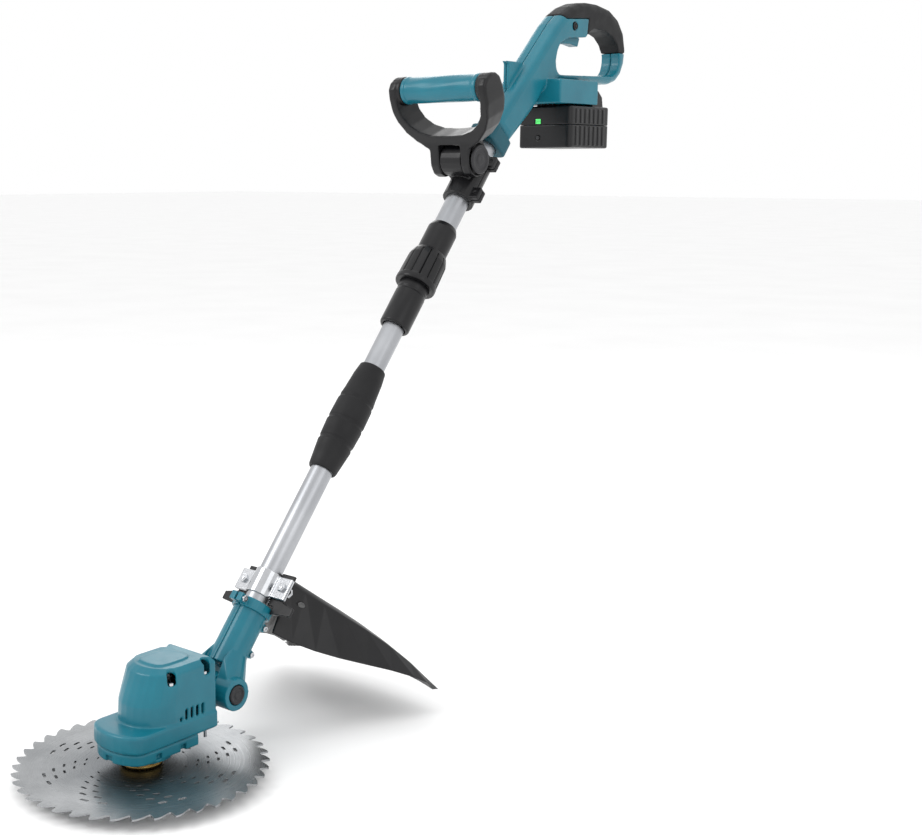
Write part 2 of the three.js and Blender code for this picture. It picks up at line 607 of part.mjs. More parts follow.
// A bar along the pole frame's Y at x across and t up the pole.
function clampBar(radius, y0, y1, x, t, sides = 12) {
  const place = new THREE.Matrix4().makeTranslation(0, 0, t).multiply(turnX(90));
  return along(disc(radius, -y1, -y0, x, 0, sides), place);
}

function makeCarryClamp() {
  const { t, n, radius, barrel } = HINGE;
  const { low, high, lug } = CLAMP;
  const bore = disc(UPPER_TUBE.radius + GAP, 0, 900);
  const holes = CLAMP_SCREWS.map(([x, z]) => clampBar(2.1, -50, 50, x, z, 8));
  const ring = disc(CLAMP.radius, low, high, 0, 0, 20);
  const lugs = (y0, y1) => join(
    block(0, lug, y0, y1, low + 2, low + 17), block(-lug, lug, y0, y1, high - 17, high - 2),
  );
  const room = [-1, 1].map((s) => crossBar(radius + 2, s > 0 ? barrel : -60, s > 0 ? 60 : -barrel, -n, t));
  const front = join(
    cut(join(ring.intersect(block(-60, 60, -80, -0.2, 0, 1200)), lugs(-6, -0.2)), ...room),
    crossBar(radius - 1, -barrel, barrel, -n, t), block(1 - barrel, barrel - 1, -n, -4, t - 16, t + 15),
  );
  add(pole, "handle_clamp_front", BLACK, cut(front, bore, crossBar(5.3, -60, 60, -n, t, 20), ...holes));
  const rear = join(ring.intersect(block(-60, 60, 0.2, 80, 0, 1200)), lugs(0.2, 6));
  add(pole, "handle_clamp_rear", BLACK, cut(rear, bore, ...holes));
}

// The D frame from the front, x from its middle and z from the hinge.
function carryFront(out) {
  const { half, wall, reach, depth } = DHANDLE;
  const top = reach - 3 + depth;
  const ear = HINGE.ear;
  if (out) return [
    [ear, -HINGE.radius], [ear, 18], [half, 72, half - 4, 34], [half, top], [-half, top], [-half, 72],
    [-ear, 18, 4 - half, 34], [-ear, -HINGE.radius],
  ];
  const x = half - wall;
  return [[0, 34], [22, 35], [x, 72, x - 3, 42], [x, top + 9], [-x, top + 9], [-x, 72], [-22, 35, 3 - x, 42]];
}

function makeCarryHandle() {
  const { half, wall, grip, gripRadius, depth, reach, bar } = DHANDLE;
  const { ear, barrel, radius, button } = HINGE;
  const facing = new THREE.Matrix4().makeBasis(
    new THREE.Vector3(1, 0, 0), new THREE.Vector3(0, 0, 1), new THREE.Vector3(0, -1, 0),
  );
  const face = (points) => along(plan(points, -60, 60, { curve: 4 }), facing);
  const top = reach - 3;
  const profile = side([
    [-radius, 0], [-14, 26], [-depth, 66], [-depth, top], [0, top + depth, -depth, top + depth],
    [depth, top, depth, top + depth], [depth, 66], [14, 26], [radius, 0], [0, -radius, radius, -radius],
    [-radius, 0, -radius, -radius],
  ], -half, half, { bevel: 2, curve: 3 });
  const bosses = [-1, 1].map((s) => crossBar(gripRadius + 0.5,
    s > 0 ? grip + GAP : 2 - half, s > 0 ? half - 2 : -grip - GAP, 0, reach));
  const gapBelow = block(-barrel - 0.5, barrel + 0.5, -60, 60, -60, 23);
  let frame = cut(profile.intersect(face(carryFront(true))), face(carryFront(false)), gapBelow);
  const barHole = crossBar(bar + GAP, -66, 66, 0, reach, 20);
  frame = cut(join(frame, ...bosses), crossBar(5.3, -60, 60, 0, 0, 20), barHole);
  frame = cut(frame, crossBar(button + 0.5, 21.5, 60, 0, 0, 24));
  add(carry, "d_handle_frame", BLACK, frame);
  add(carry, "d_handle_grip", TEAL,
    join(crossBar(gripRadius, -grip, grip, 0, reach), crossBar(bar, -65, 65, 0, reach, 20)));
  add(carry, "d_handle_bolt", STEEL,
    join(crossBar(5, -ear - 1, 21, 0, 0, 20), crossBar(8, -ear - 4, -ear - GAP, 0, 0, 6)));
  add(carry, "ratchet_button", GREY, crossBar(button, 26, ear + 3, 0, 0, 24, button - 1.5));
}

// ---------------------------------------------------------------- rear housing
// Side outlines as [y, z]: the outside of the neck and bowed grip, and the hand opening in it.
const HOUSING_SIDE = [
  [565, 649.5], [693, 774.5], [770, 806.5, 729, 806.5], [794, 806.5], [871, 752, 867, 804],
  [832, 706, 869, 710], [700, 704], [669, 690], [645, 665.5], [594, 625],
];
const HAND_OPENING = [
  [705, 712], [691, 728, 692, 712], [701, 752, 691, 742], [722, 759], [762, 762], [788, 774.5, 775, 774],
  [852, 744, 842, 776], [834, 716, 853, 720],
];
const NECK_CAVITY = [
  [612, 680], [640, 708], [674, 746], [700, 771], [708, 776], [708, 764], [693, 760], [682, 735], [676, 700],
  [640, 680],
];
const COVER_SIDE = [
  [689, 815], [703, 793], [714, 782], [768, 786], [765, 762], [806, 748], [890, 748], [890, 815],
];
const TRIGGER = { half: 7, pinY: 717, pinZ: 765 };
const LOCK = { y: 733, z: 774, radius: 5, inner: 12.5, outer: 19.4 };

// Moves each side of an outline of straight lines outwards by d.
function grown(points, d) {
  const n = points.length;
  const turn = THREE.ShapeUtils.area(points.map(([x, y]) => new THREE.Vector2(x, y))) > 0 ? 1 : -1;
  return points.map((point, i) => {
    const into = unit(points[(i + n - 1) % n], point);
    const out = unit(point, points[(i + 1) % n]);
    const reach = (turn * d) / (1 + into[0] * out[0] + into[1] * out[1]);
    return [point[0] + (into[1] + out[1]) * reach, point[1] - (into[0] + out[0]) * reach];
  });
}

function unit(a, b) {
  const length = Math.hypot(b[0] - a[0], b[1] - a[1]);
  return [(b[0] - a[0]) / length, (b[1] - a[1]) / length];
}

// Neck and grip loop in one, slimmer towards the rear.
function housingBlank() {
  const { half } = HOUSING;
  const geometry = upright(outline(HOUSING_SIDE), -half, half, { bevel: 10, rounds: 3, curve: 4 });
  geometry.applyMatrix4(SIDEWAYS);
  const position = geometry.attributes.position;
  for (let i = 0; i < position.count; i++) {
    const back = THREE.MathUtils.clamp((position.getY(i) - 770) / 80, 0, 1);
    position.setX(i, position.getX(i) * (1 - 0.22 * back));
  }
  return cut(solid(geometry), side(HAND_OPENING, -60, 60, { curve: 4 }));
}

function makeHousing() {
  const { half, wall, tubeStart } = HOUSING;
  const blank = housingBlank();
  const shoe = block(-SHOE.half, SHOE.half, SHOE.front, SHOE.rear, SHOE.low, SHOE.high);
  const fin = side([[606, 721], [603, 724.5], [636, 724.5], [640, 715], [612, 690], [606, 692]], -4, 4);
  let body = join(cut(blank, side(grown(COVER_SIDE, GAP), -60, 60)), shoe, fin);
  body = cut(body,
    side(NECK_CAVITY, wall - half, half - wall),
    block(-35, 35, 673, 755, 679.2, 701), block(-12.6, 12.6, 690, 760, 670, 685),
    block(-16.6, 16.6, 750, 760, 678, 684),
    along(disc(UPPER_TUBE.radius + GAP, 700, UPPER_TUBE.end + 1), pole.matrix),
    block(-TRIGGER.half - 0.4, TRIGGER.half + 0.4, 711, 766, 740, 779),
    crossBar(1.9, -14, 14, TRIGGER.pinY, TRIGGER.pinZ, 8),
    crossBar(LOCK.radius + 0.4, 8.2, 60, LOCK.y, LOCK.z, 20),
    along(disc(40, tubeStart - 60, tubeStart), pole.matrix),
  );
  add(edger, "housing_right", TEAL, body.intersect(above(0.15)));
  add(edger, "housing_left", TEAL, mirrorX(mirrorX(body).intersect(above(0.15))));
  add(edger, "handle_cover", SOFT_BLACK, blank.intersect(side(COVER_SIDE, -60, 60)));

  const trigger = side([
    [712.5, 769], [722, 769], [758, 763], [762, 761], [758, 750.5], [740, 753], [714, 751.5],
  ], -TRIGGER.half, TRIGGER.half, { bevel: 1 });
  add(edger, "trigger", TEAL, join(trigger, crossBar(1.5, -13, 13, TRIGGER.pinY, TRIGGER.pinZ, 8)));
  const lockButton = crossBar(LOCK.radius, LOCK.inner, LOCK.outer, LOCK.y, LOCK.z, 20, LOCK.radius - 0.6);
  add(edger, "lock_off_button", BLACK, lockButton);
  add(edger, "trigger_switch", BLACK, block(-6, 6, 699.5, 707.5, 764.3, 769.3));
  add(edger, "terminal_block", BLACK, block(-12, 12, 675, 689, 680, 692));
}

// ---------------------------------------------------------------- battery
const GAUGE = { x: -9, low: 640, high: 658, buttonZ: 634 };

function makeBattery() {
  const { half, front, rear, low, seam, high, wedge } = PACK;
  const shell = (z0, z1) => plan(roundedBox(-half, half, front, rear, 6), z0, z1, { bevel: 1.5, curve: 3 });
  const room = block(3 - half, half - 3, front + 3, rear - 3, low + 3, high - 3);
  const lower = shell(low, high).intersect(block(-90, 90, 600, 900, 0, seam - GAP / 2));
  const buttonHole = crossBarY(3.1, front - 9, front + 9, GAUGE.x, GAUGE.buttonZ);
  add(edger, "battery_case", BLACK, cut(lower, room, buttonHole));

  const back = side([
    [759.5, high - 3], [rear - 1, high - 3], [rear - 4, wedge - 8], [rear - 14, wedge], [759.5, wedge],
  ], -30, 30);
  const stem = block(-12, 12, front + 2, 757, high - 2, 680);
  const head = block(-16, 16, front + 2, 757, 679.8, 683.5);
  const catchHole = block(-12.4, 12.4, 762.4, 776, 684, 700);
  let lid = shell(low, high).intersect(block(-90, 90, 600, 900, seam + GAP / 2, 900));
  lid = cut(join(lid, back, stem, head), room, catchHole);
  const panel = block(GAUGE.x - 5, GAUGE.x + 5, front - 5, front + 1.2, seam + 1, GAUGE.high);
  add(edger, "battery_lid", BLACK, cut(lid, panel));
  add(edger, "gauge_lens", GREEN,
    block(GAUGE.x - 4.7, GAUGE.x + 4.7, front + 0.1, front + 0.9, seam + 1.3, GAUGE.high - GAP));
  add(edger, "gauge_button", GREY, crossBarY(2.8, front - 1.2, front + 4, GAUGE.x, GAUGE.buttonZ));
  add(edger, "battery_release", GREY, block(-12, 12, 762.8, 775.6, 688.5, 697));

  const cells = [];
  for (const x of [-26.1, -8.7, 8.7, 26.1])
    for (const z of [641, 658]) cells.push(crossBarY(9.2, front + 6, front + 76, x, z, 8));
  add(edger, "cell_pack", CELL_BLUE, join(...cells));
}

// A round bar along Y, centred at (x, z).
function crossBarY(radius, y0, y1, x, z, sides = 16) {
  const place = new THREE.Matrix4().makeTranslation(x, 0, z).multiply(turnX(-90));
  return along(disc(radius, y0, y1, 0, 0, sides), place);
}

makeSpindle();
makeDrive();
makeHead();
makeArm();
makeLowerTube();
makeStrap();
makeGuard();
makeSleeve();
makeUpperPole();
makeCarryClamp();
makeCarryHandle();
makeHousing();
makeBattery();

export default edger;
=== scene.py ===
"""A cordless lawn edger on a pale floor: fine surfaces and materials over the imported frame."""
import json
import math

import bmesh
import bpy
from mathutils import Matrix, Vector


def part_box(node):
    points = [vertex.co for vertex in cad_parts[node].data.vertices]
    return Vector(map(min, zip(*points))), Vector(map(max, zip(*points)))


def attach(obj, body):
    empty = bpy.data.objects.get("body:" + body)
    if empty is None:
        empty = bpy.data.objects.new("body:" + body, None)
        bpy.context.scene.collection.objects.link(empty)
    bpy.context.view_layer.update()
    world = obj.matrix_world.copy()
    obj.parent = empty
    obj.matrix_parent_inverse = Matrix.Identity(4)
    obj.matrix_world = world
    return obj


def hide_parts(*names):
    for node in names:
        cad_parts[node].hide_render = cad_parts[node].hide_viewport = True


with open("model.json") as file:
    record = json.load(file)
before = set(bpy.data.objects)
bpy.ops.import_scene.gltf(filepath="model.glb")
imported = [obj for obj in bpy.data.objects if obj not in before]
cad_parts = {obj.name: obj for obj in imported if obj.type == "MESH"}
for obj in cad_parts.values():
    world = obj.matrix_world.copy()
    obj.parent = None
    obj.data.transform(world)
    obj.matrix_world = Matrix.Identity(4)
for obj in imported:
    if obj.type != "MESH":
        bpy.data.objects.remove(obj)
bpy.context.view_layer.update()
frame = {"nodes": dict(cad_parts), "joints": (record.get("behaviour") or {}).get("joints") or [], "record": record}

MM = 0.001
SIDES = 96  # round a turned piece
SCREW_SIDES = 48
HEX_SIDES = 6
TUBE_WALL = 1.1 * MM
NUT_GROOVES = 14
BLADE_TEETH = 40
BLADE_FANS = 8  # groups of slots, round the blade
SLOT_ROWS = 6
BLADE_BORE = 12.7 * MM
FLANGE_PILOT = 12.4 * MM  # the step that centres the blade
GRIP_HALF = 54 * MM
GRIP_BAR = 6 * MM
BATTERY_RIBS = 7
GAUGE_BARS = 4
NODES = frame["nodes"]
SLOT_OF = {part["node"]: part["material_slot"] for part in frame["record"]["subparts"]}
BODY_OF = {n: body for body, names in frame["record"]["behaviour"]["bodies"].items() for n in names}
JOINT = {joint["name"]: joint for joint in frame["joints"]}

ACROSS = Vector((1, 0, 0))
UP = Vector((0, 0, 1))
PIVOT = Vector(JOINT["head_tilt"]["pos_m"])
POLE = Vector(JOINT["pole_telescope"]["axis"]).normalized()
BEHIND = POLE.cross(ACROSS).normalized() * -1  # square to the pole, towards the ground behind it


# ---------------------------------------------------------------- materials
def new_material(name):
    material = bpy.data.materials.new(name)
    material.use_nodes = True
    tree = material.node_tree
    place = tree.nodes.new("ShaderNodeTexCoord").outputs["Object"]
    return material, tree, tree.nodes["Principled BSDF"], place


def noise(tree, vector, scale, detail=3.0):
    node = tree.nodes.new("ShaderNodeTexNoise")
    node.inputs["Scale"].default_value = scale
    node.inputs["Detail"].default_value = detail
    tree.links.new(vector, node.inputs["Vector"])
    return node.outputs["Fac"]


def ranged(tree, value, low, high, start=0.3, end=0.7):
    node = tree.nodes.new("ShaderNodeMapRange")
    for socket, number in (("From Min", start), ("From Max", end), ("To Min", low), ("To Max", high)):
        node.inputs[socket].default_value = number
    tree.links.new(value, node.inputs["Value"])
    return node.outputs["Result"]


def mixed(tree, factor, first, second):
    node = tree.nodes.new("ShaderNodeMix")
    node.data_type = "RGBA"
    tree.links.new(factor, node.inputs["Factor"])
    for socket, colour in ((node.inputs[6], first), (node.inputs[7], second)):
        if isinstance(colour, tuple):
            socket.default_value = (*colour, 1)
        else:
            tree.links.new(colour, socket)
    return node.outputs[2]


def bumped(tree, shader, height, distance, strength=0.6):
    node = tree.nodes.new("ShaderNodeBump")
    node.inputs["Distance"].default_value = distance
    node.inputs["Strength"].default_value = strength
    tree.links.new(height, node.inputs["Height"])
    tree.links.new(node.outputs["Normal"], shader.inputs["Normal"])


def worn_edges(tree):
    """A value that rises on outer edges, where handling rubs a piece."""
    point = tree.nodes.new("ShaderNodeNewGeometry").outputs["Pointiness"]
    return ranged(tree, point, 0.0, 0.5, 0.53, 0.62)


def moulded(name, light, dark, worn, rough, grain, depth, coat=0.0):
    """Moulded plastic or rubber: faint flow mottling, a fine texture, and lighter rubbed edges."""
    material, tree, shader, place = new_material(name)
    body = mixed(tree, ranged(tree, noise(tree, place, 26), 0, 1), dark, light)
    colour = mixed(tree, worn_edges(tree), body, worn)
    tree.links.new(colour, shader.inputs["Base Color"])
    smears = noise(tree, place, 70, 5)
    tree.links.new(ranged(tree, smears, rough - 0.05, rough + 0.07), shader.inputs["Roughness"])
    bumped(tree, shader, noise(tree, place, grain, 2), depth)
    shader.inputs["Specular IOR Level"].default_value = 0.3
    shader.inputs["Coat Weight"].default_value = coat
    shader.inputs["Coat Roughness"].default_value = 0.18
    return material


def stretched(tree, place, turn, scale):
    """Coordinates turned about X and then squeezed, so noise draws out into streaks."""
    for rotation, size in (((turn, 0, 0), (1, 1, 1)), ((0, 0, 0), scale)):
        node = tree.nodes.new("ShaderNodeMapping")
        node.inputs["Rotation"].default_value = rotation
        node.inputs["Scale"].default_value = size
        tree.links.new(place, node.inputs["Vector"])
        place = node.outputs["Vector"]
    return place


def metal(name, light, dark, rough, streak=None):
    """Metal with streaks along one direction, uneven polish and a little tarnish."""
    material, tree, shader, place = new_material(name)
    shader.inputs["Metallic"].default_value = 1.0
    lines = stretched(tree, place, *streak) if streak else place
    marks = noise(tree, lines, 900, 2)
    tarnish = noise(tree, place, 22, 5)
    tree.links.new(mixed(tree, ranged(tree, tarnish, 0, 1), dark, light), shader.inputs["Base Color"])
    tree.links.new(ranged(tree, marks, rough - 0.06, rough + 0.08), shader.inputs["Roughness"])
    bumped(tree, shader, marks, 0.00001, 0.4)
    return material


def ground_disc(name):
    """Blade steel: rings left by grinding, and a painted dark reflection towards the hub."""
    material, tree, shader, place = new_material(name)
    shader.inputs["Metallic"].default_value = 1.0
    flat = tree.nodes.new("ShaderNodeVectorMath")
    flat.operation = "MULTIPLY"
    flat.inputs[1].default_value = (1, 1, 0)
    tree.links.new(place, flat.inputs[0])
    length = tree.nodes.new("ShaderNodeVectorMath")
    length.operation = "LENGTH"
    tree.links.new(flat.outputs["Vector"], length.inputs[0])
    rings = tree.nodes.new("ShaderNodeTexNoise")
    rings.noise_dimensions = "1D"
    rings.inputs["Scale"].default_value = 1500
    tree.links.new(length.outputs["Value"], rings.inputs["W"])
    # painted dark reflection: the steel's base colour goes dark towards the hub
    hub_painted_reflection = ranged(tree, length.outputs["Value"], 0, 1, 0.022, 0.1)
    patches = ranged(tree, noise(tree, place, 30, 5), 0, 1)
    steel = mixed(tree, patches, (0.27, 0.28, 0.29), (0.38, 0.39, 0.40))
    tree.links.new(mixed(tree, hub_painted_reflection, (0.09, 0.1, 0.11), steel), shader.inputs["Base Color"])
    tree.links.new(ranged(tree, rings.outputs["Fac"], 0.24, 0.4), shader.inputs["Roughness"])
    bumped(tree, shader, rings.outputs["Fac"], 0.00002, 0.5)
    return material


def lit(name, colour, dark):
    """A lamp bar behind a clear lens, its glow speckled with fine noise."""
    material, tree, shader, place = new_material(name)
    glow = mixed(tree, ranged(tree, noise(tree, place, 500), 0, 1), dark, colour)
    tree.links.new(glow, shader.inputs["Base Color"])
    tree.links.new(glow, shader.inputs["Emission Color"])
    shader.inputs["Emission Strength"].default_value = 0.9
    shader.inputs["Roughness"].default_value = 0.2
    return material


ALONG_POLE = (math.radians(40), (1, 1, 0.015))
MATERIALS = {
    "teal_plastic": moulded(
        "teal", (0.006, 0.165, 0.225), (0.004, 0.135, 0.19), (0.05, 0.3, 0.37), 0.33, 1500, 3e-5, 0.25,
    ),
    "dark_teal_plastic": moulded(
        "dark_teal", (0.006, 0.09, 0.12), (0.004, 0.07, 0.1), (0.03, 0.2, 0.25), 0.4, 1500, 3e-5,
    ),
    "black_plastic": moulded(
        "black", (0.007, 0.007, 0.008), (0.004, 0.004, 0.005), (0.03, 0.03, 0.032), 0.36, 1200, 4e-5, 0.1,
    ),
    "soft_grip": moulded(
        "soft_black", (0.009, 0.009, 0.01), (0.005, 0.005, 0.006), (0.03, 0.03, 0.03), 0.55, 800, 7e-5,
    ),
    "grey_plastic": moulded(
        "charcoal", (0.03, 0.03, 0.033), (0.02, 0.02, 0.022), (0.09, 0.09, 0.09), 0.42, 1300, 3e-5,
    ),
    "tube_aluminium": metal("anodised", (0.46, 0.47, 0.49), (0.38, 0.39, 0.41), 0.38, ALONG_POLE),
    "bright_steel": metal("plated", (0.60, 0.61, 0.63), (0.48, 0.49, 0.51), 0.19),
    "blade_steel": ground_disc("ground_steel"),
    "inner_steel": metal("machined", (0.55, 0.55, 0.56), (0.42, 0.42, 0.43), 0.32),
    "flange_brass": metal("turned_brass", (0.55, 0.38, 0.13), (0.42, 0.28, 0.09), 0.27),
    "copper_rotor": metal("copper", (0.66, 0.31, 0.17), (0.45, 0.2, 0.1), 0.36),
    "gauge_green": lit("gauge_glow", (0.12, 0.9, 0.2), (0.05, 0.5, 0.1)),
    "cell_wrap": moulded(
        "cell_wrap", (0.02, 0.12, 0.42), (0.015, 0.09, 0.33), (0.1, 0.25, 0.5), 0.25, 600, 2e-5, 0.5,
    ),
}
for node, cad in NODES.items():
    cad.data.materials.clear()
    cad.data.materials.append(MATERIALS[SLOT_OF[node]])


# ---------------------------------------------------------------- making pieces
def piece(name, mesh, node, instead=True, slot=None, smooth=35):
    """A new object that rides with a CAD node and, unless told otherwise, stands for it."""
    made = bpy.data.objects.new(name, mesh)
    bpy.context.scene.collection.objects.link(made)
    chosen = slot or SLOT_OF[node]
    mesh.materials.clear()
    mesh.materials.append(MATERIALS[chosen])
    mesh.shade_smooth()
    mesh.set_sharp_from_angle(angle=math.radians(smooth))
    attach(made, BODY_OF[node])
    if instead:
        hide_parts(node)
    return made


def as_mesh(bm, name):
    bmesh.ops.remove_doubles(bm, verts=bm.verts, dist=1e-7)
    bmesh.ops.dissolve_degenerate(bm, edges=bm.edges, dist=1e-7)
    bmesh.ops.recalc_face_normals(bm, faces=bm.faces)
    mesh = bpy.data.meshes.new(name)
    bm.to_mesh(mesh)
    bm.free()
    return mesh


def rounded(points, radius, steps=3):
    """A closed run of points with each corner turned into a short curve."""
    made = []
    corners = [Vector(p) for p in points]
    for i, corner in enumerate(corners):
        before, after = corners[i - 1], corners[(i + 1) % len(corners)]
        reach = min(radius, (before - corner).length * 0.45, (after - corner).length * 0.45)
        if reach < 1e-6:
            made.append(corner)
            continue
        start = corner + (before - corner).normalized() * reach
        end = corner + (after - corner).normalized() * reach
        for k in range(steps + 1):
            s = k / steps
            made.append(start * (1 - s) ** 2 + corner * 2 * s * (1 - s) + end * s * s)
    return made


def turn(bm, profile, origin, axis, sides=SIDES, shape=None):
    """Turns a closed profile of (radius, place along) round an axis, into bm."""
    side = ACROSS if abs(axis.dot(ACROSS)) < 0.5 else UP
    other = axis.cross(side)
    rings = []
    for i in range(sides):
        angle = 2 * math.pi * i / sides
        out = side * math.cos(angle) + other * math.sin(angle)
        rings.append([
            bm.verts.new(origin + axis * s + out * (shape(angle, r, s) if shape else r)) for r, s in profile
        ])
    for i in range(sides):
        a, b = rings[i], rings[(i + 1) % sides]
        for j in range(len(profile)):
            k = (j + 1) % len(profile)
            bm.faces.new((a[j], b[j], b[k], a[k]))


def turned(name, node, profile, origin, axis, edge=0.5 * MM, sides=SIDES, shape=None):
    bm = bmesh.new()
    turn(bm, rounded(profile, edge), origin, axis, sides, shape)
    return piece(name, as_mesh(bm, name), node)


def span(node, origin, axis):
    """Where a CAD node starts and ends along an axis, and its farthest reach from it."""
    places = [vertex.co - origin for vertex in NODES[node].data.vertices]
    along = [p.dot(axis) for p in places]
    reach = [(p - axis * a).length for p, a in zip(places, along)]
    return min(along), max(along), max(reach), min(reach)


def softened(node, voxel, passes):
    """The CAD node's solid with fine, rounded moulded edges."""
    source = bpy.data.objects.new("source", NODES[node].data.copy())
    bpy.context.scene.collection.objects.link(source)
    remesh = source.modifiers.new("fine", "REMESH")
    remesh.mode = "VOXEL"
    remesh.voxel_size = voxel * MM
    relax = source.modifiers.new("relax", "SMOOTH")
    relax.factor = 0.5
    relax.iterations = passes
    seen = source.evaluated_get(bpy.context.evaluated_depsgraph_get())
    mesh = bpy.data.meshes.new_from_object(seen)
    bpy.data.objects.remove(source)
    return piece(node + "_fine", mesh, node, smooth=60)


# ---------------------------------------------------------------- moulded pieces
SOFTENED = {  # CAD node: voxel in millimetres, passes that round its edges
    "motor_cover": (0.9, 9), "gearcase_base": (0.8, 5), "arm_shell_right": (0.8, 10),
    "arm_shell_left": (0.8, 10), "arm_clamp_ring": (0.5, 5), "guard": (0.6, 6),
    "guard_clamp_front": (0.5, 7), "guard_clamp_rear": (0.5, 7),
    "handle_clamp_front": (0.7, 7), "handle_clamp_rear": (0.7, 7), "d_handle_frame": (0.9, 18),
    "tube_collar": (0.8, 5), "housing_right": (0.9, 10), "housing_left": (0.9, 10), "handle_cover": (0.9, 12),
    "trigger": (0.4, 8), "battery_case": (0.8, 4), "battery_lid": (0.8, 4), "battery_release": (0.4, 4),
}
for node, (voxel, passes) in SOFTENED.items():
    softened(node, voxel * (1), passes)


# ---------------------------------------------------------------- tubes, sleeve and twist collar
def pole_tube(node):
    low, high, outer, _ = span(node, PIVOT, POLE)
    inner = outer - TUBE_WALL
    turned(node + "_fine", node, [(inner, low), (outer, low), (outer, high), (inner, high)], PIVOT, POLE)


pole_tube("lower_tube")
pole_tube("upper_tube")


def make_sleeve():
    """Three barrels in a row with grooves between, tapering to a lip at each end."""
    low, high, reach, bore = span("grip_sleeve", PIVOT, POLE)
    length = high - low
    outside = [
        (0.73, 0), (0.78, 0.02), (0.86, 0.13), (0.94, 0.24), (0.90, 0.255), (0.90, 0.27), (0.955, 0.285),
        (1.0, 0.43), (0.955, 0.447), (0.955, 0.46), (1.0, 0.475), (0.975, 0.64), (0.93, 0.655), (0.93, 0.67),
        (0.955, 0.685), (0.90, 0.75), (0.83, 0.9), (0.75, 0.98), (0.73, 1),
    ]
    profile = [(bore, low)] + [(r * reach, low + f * length) for r, f in outside] + [(bore, high)]
    turned("sleeve_fine", "grip_sleeve", profile, PIVOT, POLE, 0.8 * MM)


def make_collar():
    low, high, reach, _ = span("collar_body", PIVOT, POLE)
    nut_low, nut_high, _, _ = span("twist_nut", PIVOT, POLE)
    _, _, tube, _ = span("upper_tube", PIVOT, POLE)
    bore = tube + 0.2 * MM
    outside = [
        (reach - 1.2 * MM, low), (reach, low + 2 * MM), (reach, nut_low - 12 * MM),
        (reach - 0.8 * MM, nut_low - 11 * MM),
        (reach - 0.8 * MM, nut_low - 9 * MM), (reach, nut_low - 8 * MM), (reach, nut_low + 2 * MM),
        (reach - 1.5 * MM, nut_low + 3 * MM), (reach - 1.5 * MM, nut_high - 3 * MM),
        (reach, nut_high + 1 * MM),
        (reach, high - 6 * MM), (reach - 2.4 * MM, high),
    ]
    profile = [(bore, low)] + outside + [(bore, high)]
    turned("collar_fine", "collar_body", profile, PIVOT, POLE, 0.6 * MM)


def make_nut():
    """The twist nut, with finger grooves that run out at its wide end."""
    low, high, reach, bore = span("twist_nut", PIVOT, POLE)

    def grooved(angle, r, s):
        if r < bore + 3 * MM or s < low + 7 * MM:
            return r
        return r - 1.5 * MM * max(0.0, math.cos(NUT_GROOVES * angle)) ** 8

    profile = [
        (bore, low), (reach - 0.8 * MM, low), (reach, low + 2 * MM), (reach, low + 6 * MM),
        (reach - 0.5 * MM, low + 8 * MM), (reach - 0.8 * MM, low + 20 * MM),
        (reach - 1.4 * MM, high - 10 * MM),
        (reach - 3.4 * MM, high - 4 * MM), (bore + 1.4 * MM, high), (bore, high),
    ]
    turned("nut_fine", "twist_nut", profile, PIVOT, POLE, 0.5 * MM, sides=NUT_GROOVES * 24, shape=grooved)


make_sleeve()
make_collar()
make_nut()


# ---------------------------------------------------------------- bars and buttons across the tool
def across_piece(node, profile_of, edge=0.6 * MM):
    """A round piece on an axis along X, from a profile made of its ends and radius."""
    lo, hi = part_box(node)
    centre = Vector((0, (lo.y + hi.y) / 2, (lo.z + hi.z) / 2))
    profile = profile_of(lo.x, hi.x, (hi.z - lo.z) / 2)
    return turned(node + "_fine", node, profile, centre, ACROSS, edge)


def dished(inner, outer, radius):
    """A button: a rolled rim round a shallow dish with a raised boss."""
    rim, heel = outer - 1.1 * MM, min(1.4 * MM, radius * 0.2)
    out = 1 if outer > inner else -1
    return [
        (0, inner + out * heel), (radius - 2 * heel, inner + out * heel),
        (radius - 0.2 * MM, inner + out * 2.4 * heel),
        (radius - 0.2 * MM, rim), (radius - 1.2 * MM, outer), (radius * 0.76, outer),
        (radius * 0.68, rim), (radius * 0.4, rim), (radius * 0.34, outer - 0.3 * MM), (0, outer - 0.3 * MM),
    ]


def mirrored_dish(outer, inner, radius):
    return [(r, inner + outer - s) for r, s in dished(outer, inner, radius)]


across_piece("pivot_button", dished)
across_piece("ratchet_button", dished)
across_piece("lock_off_button", dished, 0.3 * MM)
across_piece("pivot_cap_left", mirrored_dish)


def make_grip():
    """The carry grip: a crowned tube with a raised band at each end, on its bar."""
    lo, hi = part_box("d_handle_grip")
    radius = (hi.z - lo.z) / 2
    half, bar_half, bar = GRIP_HALF, hi.x, GRIP_BAR
    outside = [
        (bar, -bar_half), (bar, -half), (radius - 1 * MM, -half), (radius, -half + 1 * MM),
        (radius, -half + 5 * MM),
        (radius - 0.8 * MM, -half + 6 * MM), (radius - 0.4 * MM, -half / 2), (radius - 0.2 * MM, 0),
        (radius - 0.4 * MM, half / 2), (radius - 0.8 * MM, half - 6 * MM), (radius, half - 5 * MM),
        (radius, half - 1 * MM), (radius - 1 * MM, half), (bar, half), (bar, bar_half),
    ]
    centre = Vector((0, (lo.y + hi.y) / 2, (lo.z + hi.z) / 2))

    def waved(angle, r, s):
        if r < radius - 2 * MM or abs(s) > half - 7 * MM:
            return r
        return r - 0.35 * MM * (0.5 + 0.5 * math.cos(6 * angle + s * 90))

    profile = [(0, -bar_half)] + outside + [(0, bar_half)]
    bm = bmesh.new()
    dense = []
    run = rounded(profile, 0.6 * MM)
    for a, b in zip(run, run[1:] + run[:1]):
        steps = max(1, int((b - a).length / (2 * MM)))
        dense += [a.lerp(b, k / steps) for k in range(steps)]
    turn(bm, dense, centre, ACROSS, SIDES, waved)
    piece("grip_fine", as_mesh(bm, "grip_fine"), "d_handle_grip")


make_grip()


